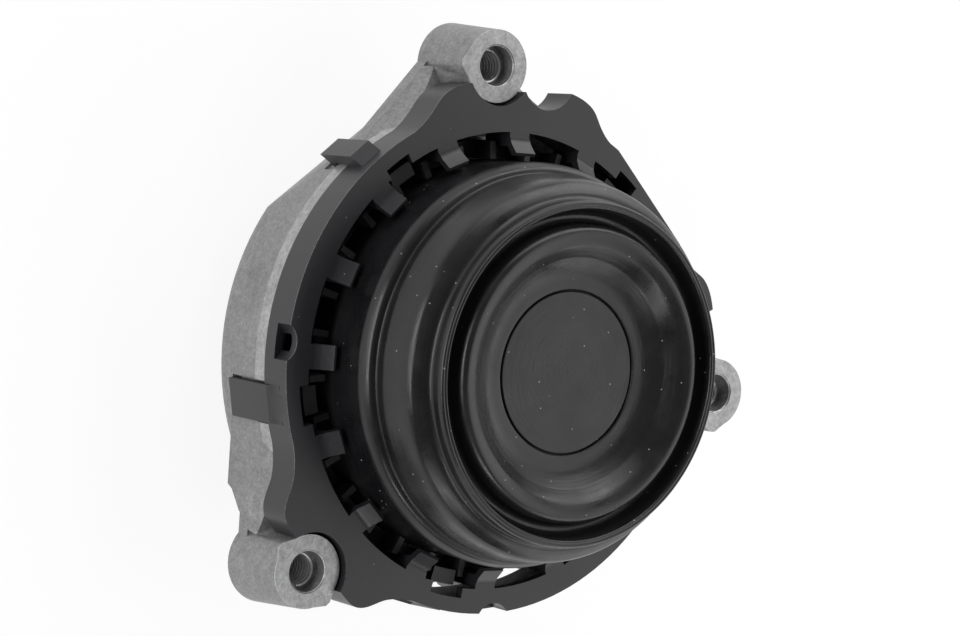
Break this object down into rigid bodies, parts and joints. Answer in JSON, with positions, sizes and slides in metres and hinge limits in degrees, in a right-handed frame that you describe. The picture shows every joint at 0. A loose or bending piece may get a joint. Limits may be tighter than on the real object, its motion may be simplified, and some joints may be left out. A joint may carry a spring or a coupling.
{
  "type": "engine mount",
  "caption": "Hydraulic engine mount: cast aluminium housing with tapped lugs, plastic retaining ring, convoluted rubber bellows and a rubber-sprung core.",
  "frame": {"origin": "centre of the core's seating face, at the mouth of its thread", "axes": "+Z along the mount's axis towards the bellows, -X towards the single lug, +Y to the left of the pair of lugs seen from the single lug"},
  "size_m": [0.182, 0.1662, 0.0953],
  "materials": {
    "housing": "as cast, lug faces machined",
    "plastic": "moulded, fine grain",
    "bellows_rubber": "moulded, satin",
    "spring_rubber": "moulded, matt",
    "plates": "die cast",
    "steel": "phosphated"
  },
  "bodies": {
    "root": {"housing_casting": "housing", "retaining_ring": "plastic", "clamp_ring": "plastic", "bellows": "bellows_rubber", "bead_ring": "steel", "channel_plate_upper": "plates", "channel_plate_lower": "plates", "decoupler_membrane": "spring_rubber", "support_ring": "steel", "rubber_spring": "spring_rubber", "core": "plates"}
  },
  "joints": []
}
